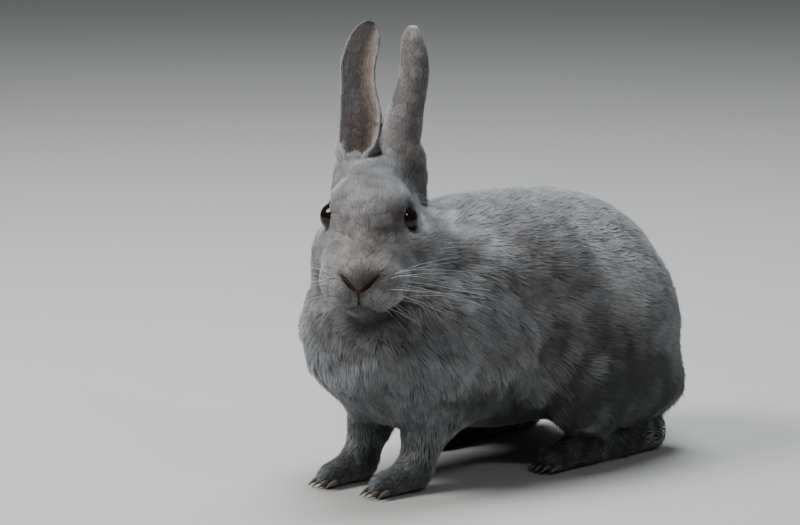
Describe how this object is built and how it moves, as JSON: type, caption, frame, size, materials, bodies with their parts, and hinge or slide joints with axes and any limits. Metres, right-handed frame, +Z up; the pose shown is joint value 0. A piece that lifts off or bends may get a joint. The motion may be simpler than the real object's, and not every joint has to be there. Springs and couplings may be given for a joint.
{
  "type": "rabbit",
  "caption": "Life-size still model of a blue-grey domestic rabbit, alert with ears up, head turned to its left, haunches folded, resting on its feet.",
  "frame": {"origin": "middle of the floor under the whole rabbit", "axes": "+Z up, -Y towards the rabbit's front, +X to its left"},
  "size_m": [0.1418, 0.287, 0.2515],
  "materials": {
    "coat": "soft dense short fur, blue-grey, with pale tips and a faint brown tint on the face",
    "ear": "thin ear with fine short hair, brownish pink skin showing inside",
    "eye": "wet and glossy, almost black brown",
    "claw": "smooth dull horn"
  },
  "bodies": {
    "root": {"head": "coat", "neck": "coat", "trunk": "coat", "tail": "coat", "foreleg_left": "coat", "forepaw_left": "coat", "thigh_left": "coat", "hindfoot_left": "coat", "ear_left": "ear", "eye_left": "eye", "claw_fore_left_1": "claw", "claw_fore_left_2": "claw", "claw_fore_left_3": "claw", "claw_fore_left_4": "claw", "claw_hind_left_1": "claw", "claw_hind_left_2": "claw", "claw_hind_left_3": "claw", "claw_hind_left_4": "claw", "foreleg_right": "coat", "forepaw_right": "coat", "thigh_right": "coat", "hindfoot_right": "coat", "ear_right": "ear", "eye_right": "eye", "claw_fore_right_1": "claw", "claw_fore_right_2": "claw", "claw_fore_right_3": "claw", "claw_fore_right_4": "claw", "claw_hind_right_1": "claw", "claw_hind_right_2": "claw", "claw_hind_right_3": "claw", "claw_hind_right_4": "claw"}
  },
  "joints": []
}
